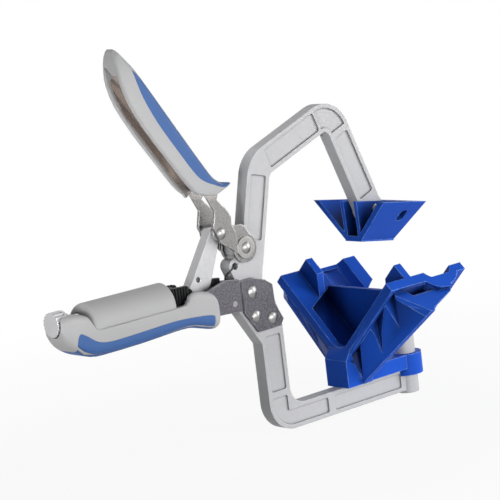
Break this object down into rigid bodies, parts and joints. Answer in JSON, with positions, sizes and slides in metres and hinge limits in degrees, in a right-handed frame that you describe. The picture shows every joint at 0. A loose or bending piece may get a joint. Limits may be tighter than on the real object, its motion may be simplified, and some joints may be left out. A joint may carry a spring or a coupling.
{
  "type": "corner clamp",
  "caption": "Hand corner clamp with toggle-locking handles and a swinging arm whose wedge presses into a V block to hold two boards at a right angle.",
  "frame": {"origin": "bottom centre of the bounding box, level with the foot of the post", "axes": "+X along the V of the corner block, from the handles to the jaw; +Y along the pivots; +Z the way the jaw opens"},
  "size_m": [0.28, 0.1354, 0.2491],
  "materials": {
    "cast_arm": "satin cast aluminium with a fine grain",
    "cheek_steel": "grey zinc-plated pressed steel",
    "pin_steel": "bright plated steel",
    "link_steel": "plated steel",
    "bright_steel": "bright chromed steel",
    "grip_grey": "satin light grey moulding",
    "grip_blue": "soft blue overmould",
    "block_blue": "semi-gloss deep blue moulding",
    "black_plastic": "matt black moulding",
    "spring_steel": "blackened spring wire",
    "screw_steel": "plated steel"
  },
  "bodies": {
    "frame": {"lower_arm": "cast_arm", "body_channel": "cheek_steel", "arm_rivets": "pin_steel", "main_pivot_pin": "pin_steel", "lower_grip": "grip_grey", "lower_grip_inlay": "grip_blue", "mechanism_cover": "grip_grey", "slide_block": "black_plastic", "spring_anchor_pin": "pin_steel", "return_spring": "spring_steel", "corner_block": "block_blue", "pressure_spring": "spring_steel"},
    "jaw": {"upper_arm": "cast_arm", "wedge_pin": "pin_steel"},
    "wedge": {"wedge_head": "block_blue"},
    "handle": {"handle_channel": "bright_steel", "upper_grip": "grip_grey", "upper_grip_inlay": "grip_blue", "handle_pin": "pin_steel", "handle_washers": "pin_steel", "link_pin": "pin_steel", "link_spacers": "link_steel"},
    "link": {"toggle_link": "link_steel", "foot_pin": "pin_steel"},
    "knob": {"pressure_screw": "screw_steel", "pressure_knob": "screw_steel"},
    "nut": {"pressure_nut": "screw_steel"}
  },
  "joints": [
    {"name": "jaw_pivot", "type": "hinge", "parent": "frame", "child": "jaw", "pos_m": [0.0025, 0, 0.0925], "axis": [0, 1, 0], "range_deg": [0, 15], "stiffness_Nm_per_rad": 0.6, "springref_deg": -51.57, "deforming": ["return_spring"]},
    {"name": "handle_pivot", "type": "hinge", "parent": "jaw", "child": "handle", "pos_m": [0.0015, 0, 0.12], "axis": [0, 1, 0], "range_deg": [-54, 0]},
    {"name": "link_pivot", "type": "hinge", "parent": "handle", "child": "link", "pos_m": [-0.017, 0, 0.132], "axis": [0, 1, 0], "range_deg": [0, 66.9]},
    {"name": "wedge_swivel", "type": "hinge", "parent": "jaw", "child": "wedge", "pos_m": [0.111, 0, 0.124], "axis": [0, 1, 0], "range_deg": [-22, 8]},
    {"name": "knob_turn", "type": "hinge", "parent": "frame", "child": "knob", "pos_m": [-0.136, 0, 0.103], "axis": [1, 0, 0], "range_deg": [-1080, 1080]},
    {"name": "nut_slide", "type": "slide", "parent": "frame", "child": "nut", "axis": [1, 0, 0], "range_m": [-0.0038, 0.0038]}
  ],
  "couplings": [
    {"joint": "handle_pivot", "follows": "jaw_pivot", "ratio": -3.6},
    {"joint": "link_pivot", "follows": "jaw_pivot", "ratio": 4.46},
    {"joint": "nut_slide", "follows": "knob_turn", "m_per_rad": 0.00019894}
  ]
}
